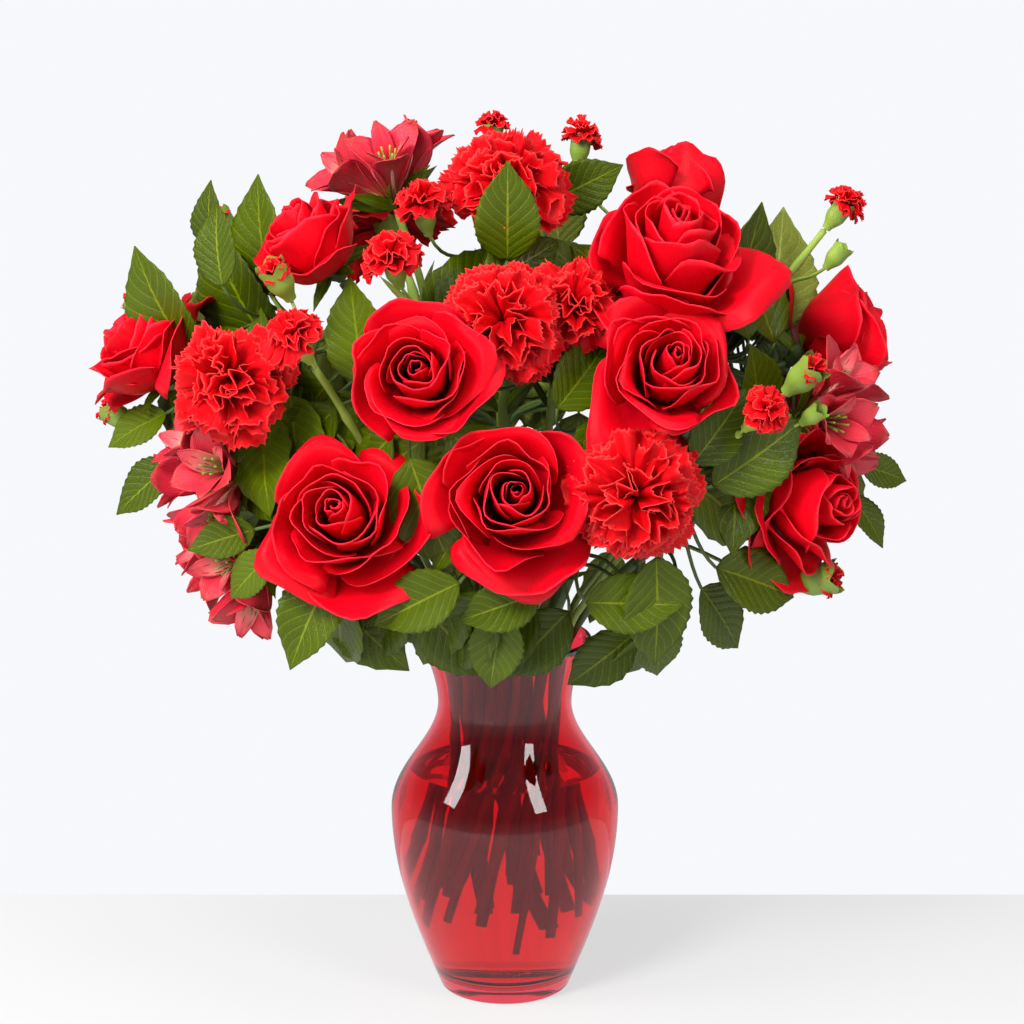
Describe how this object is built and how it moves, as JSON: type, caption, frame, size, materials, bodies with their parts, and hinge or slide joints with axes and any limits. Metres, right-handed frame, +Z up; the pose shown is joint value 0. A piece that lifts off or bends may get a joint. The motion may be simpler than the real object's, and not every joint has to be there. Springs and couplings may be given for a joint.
{
  "type": "mixed flower bouquet in a glass vase",
  "caption": "Domed bouquet of roses, carnations, spray carnations, alstroemeria and foliage, standing in a waisted ginger vase of red glass with water.",
  "frame": {"origin": "middle of the vase's flat foot, on the surface that it stands on", "axes": "+Z up the vase; the front of the bouquet faces -Y and +X is to its right"},
  "size_m": [0.4558, 0.3398, 0.4913],
  "materials": {
    "vase_glass": "gloss",
    "water": "gloss",
    "rose_petal": "velvet matt",
    "carnation_petal": "matt",
    "alstroemeria_petal": "satin",
    "rose_stem": "satin",
    "carnation_stem": "waxy matt",
    "leaf": "satin gloss"
  },
  "bodies": {
    "root": {"vase": "vase_glass", "water": "water", "rose_01_bloom": "rose_petal", "rose_02_bloom": "rose_petal", "rose_03_bloom": "rose_petal", "rose_04_bloom": "rose_petal", "rose_05_bloom": "rose_petal", "rose_06_bloom": "rose_petal", "rose_07_bloom": "rose_petal", "rose_08_bloom": "rose_petal", "rose_09_bloom": "rose_petal", "rose_10_bloom": "rose_petal", "rose_11_bloom": "rose_petal", "carnation_1_bloom": "carnation_petal", "carnation_2_bloom": "carnation_petal", "carnation_3_bloom": "carnation_petal", "carnation_4_bloom": "carnation_petal", "carnation_5_bloom": "carnation_petal", "carnation_6_bloom": "carnation_petal", "spray_2_flower_1": "carnation_petal", "spray_3_flower_1": "carnation_petal", "spray_3_flower_2": "carnation_petal", "spray_3_flower_3": "carnation_petal", "spray_4_flower_1": "carnation_petal", "spray_4_flower_2": "carnation_petal", "spray_5_flower_1": "carnation_petal", "alstroemeria_1_umbel": "alstroemeria_petal", "alstroemeria_2_umbel": "alstroemeria_petal", "alstroemeria_3_umbel": "alstroemeria_petal", "alstroemeria_4_umbel": "alstroemeria_petal", "rose_01_stem": "rose_stem", "rose_02_stem": "rose_stem", "rose_03_stem": "rose_stem", "rose_04_stem": "rose_stem", "rose_05_stem": "rose_stem", "rose_06_stem": "rose_stem", "rose_07_stem": "rose_stem", "rose_08_stem": "rose_stem", "rose_09_stem": "rose_stem", "rose_10_stem": "rose_stem", "rose_11_stem": "rose_stem", "carnation_1_stem": "carnation_stem", "carnation_2_stem": "carnation_stem", "carnation_3_stem": "carnation_stem", "carnation_4_stem": "carnation_stem", "carnation_5_stem": "carnation_stem", "carnation_6_stem": "carnation_stem", "spray_1_stem": "carnation_stem", "spray_2_stem": "carnation_stem", "spray_3_stem": "carnation_stem", "spray_4_stem": "carnation_stem", "spray_5_stem": "carnation_stem", "alstroemeria_1_stem": "rose_stem", "alstroemeria_2_stem": "rose_stem", "alstroemeria_3_stem": "rose_stem", "alstroemeria_4_stem": "rose_stem", "green_1_stem": "leaf", "green_2_stem": "leaf", "green_3_stem": "leaf", "green_4_stem": "leaf"}
  },
  "joints": []
}
